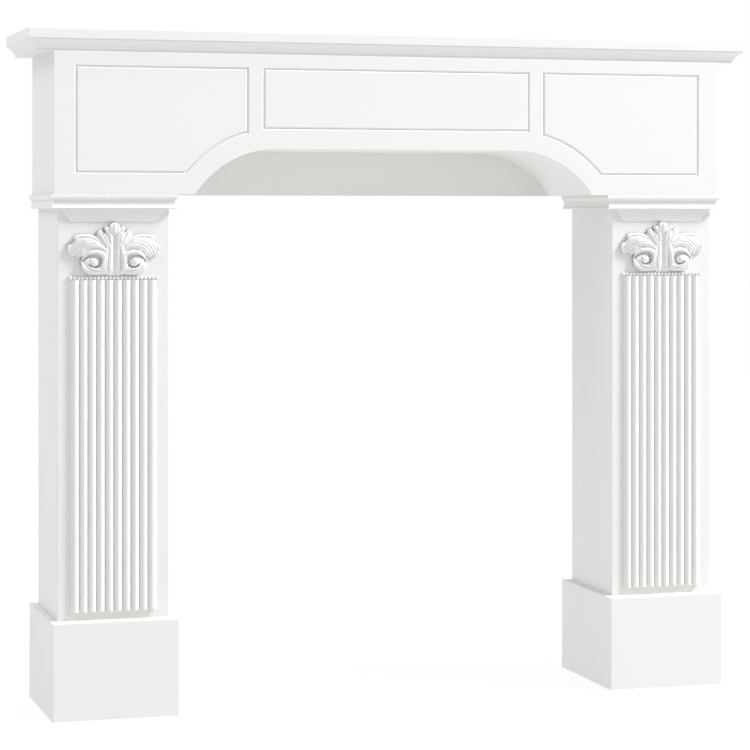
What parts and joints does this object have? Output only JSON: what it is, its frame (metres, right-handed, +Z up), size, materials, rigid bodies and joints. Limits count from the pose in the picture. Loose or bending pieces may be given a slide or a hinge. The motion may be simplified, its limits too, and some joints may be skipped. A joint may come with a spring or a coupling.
{
  "type": "fireplace mantelpiece",
  "caption": "White-painted timber fire surround: moulded shelf over an arched, V-grooved frieze on reeded pilasters with carved leaf capitals and plinth blocks.",
  "frame": {"origin": "on the floor, below the middle of the overall box, which is 128 mm in front of the wall plane", "axes": "+X along the wall to the viewer's right, +Y back towards the wall, +Z up"},
  "size_m": [1.345, 0.256, 1.2],
  "materials": {
    "painted_timber": "smooth joinery board and moulding, sprayed with matt white paint",
    "painted_carving": "carved onlay, sprayed with matt white paint"
  },
  "bodies": {
    "root": {"shelf": "painted_timber", "bed_mould_front": "painted_timber", "bed_mould_left": "painted_timber", "bed_mould_right": "painted_timber", "eave_board_left": "painted_timber", "eave_board_right": "painted_timber", "frieze_front": "painted_timber", "frieze_end_left": "painted_timber", "frieze_end_right": "painted_timber", "back_panel": "painted_timber", "arch_soffit": "painted_timber", "arch_haunch_left": "painted_timber", "arch_haunch_right": "painted_timber", "arch_sole_left": "painted_timber", "arch_sole_right": "painted_timber", "cap_front_left": "painted_timber", "cap_outer_left": "painted_timber", "cap_inner_left": "painted_timber", "cap_front_right": "painted_timber", "cap_outer_right": "painted_timber", "cap_inner_right": "painted_timber", "neck_block_left": "painted_timber", "neck_block_right": "painted_timber", "leaf_left": "painted_carving", "leaf_right": "painted_carving", "beading_left": "painted_timber", "beading_right": "painted_timber", "reeding_left": "painted_timber", "reeding_right": "painted_timber", "shaft_front_left": "painted_timber", "shaft_outer_left": "painted_timber", "shaft_inner_left": "painted_timber", "shaft_front_right": "painted_timber", "shaft_outer_right": "painted_timber", "shaft_inner_right": "painted_timber", "plinth_top_left": "painted_timber", "plinth_front_left": "painted_timber", "plinth_outer_left": "painted_timber", "plinth_inner_left": "painted_timber", "plinth_top_right": "painted_timber", "plinth_front_right": "painted_timber", "plinth_outer_right": "painted_timber", "plinth_inner_right": "painted_timber"}
  },
  "joints": []
}
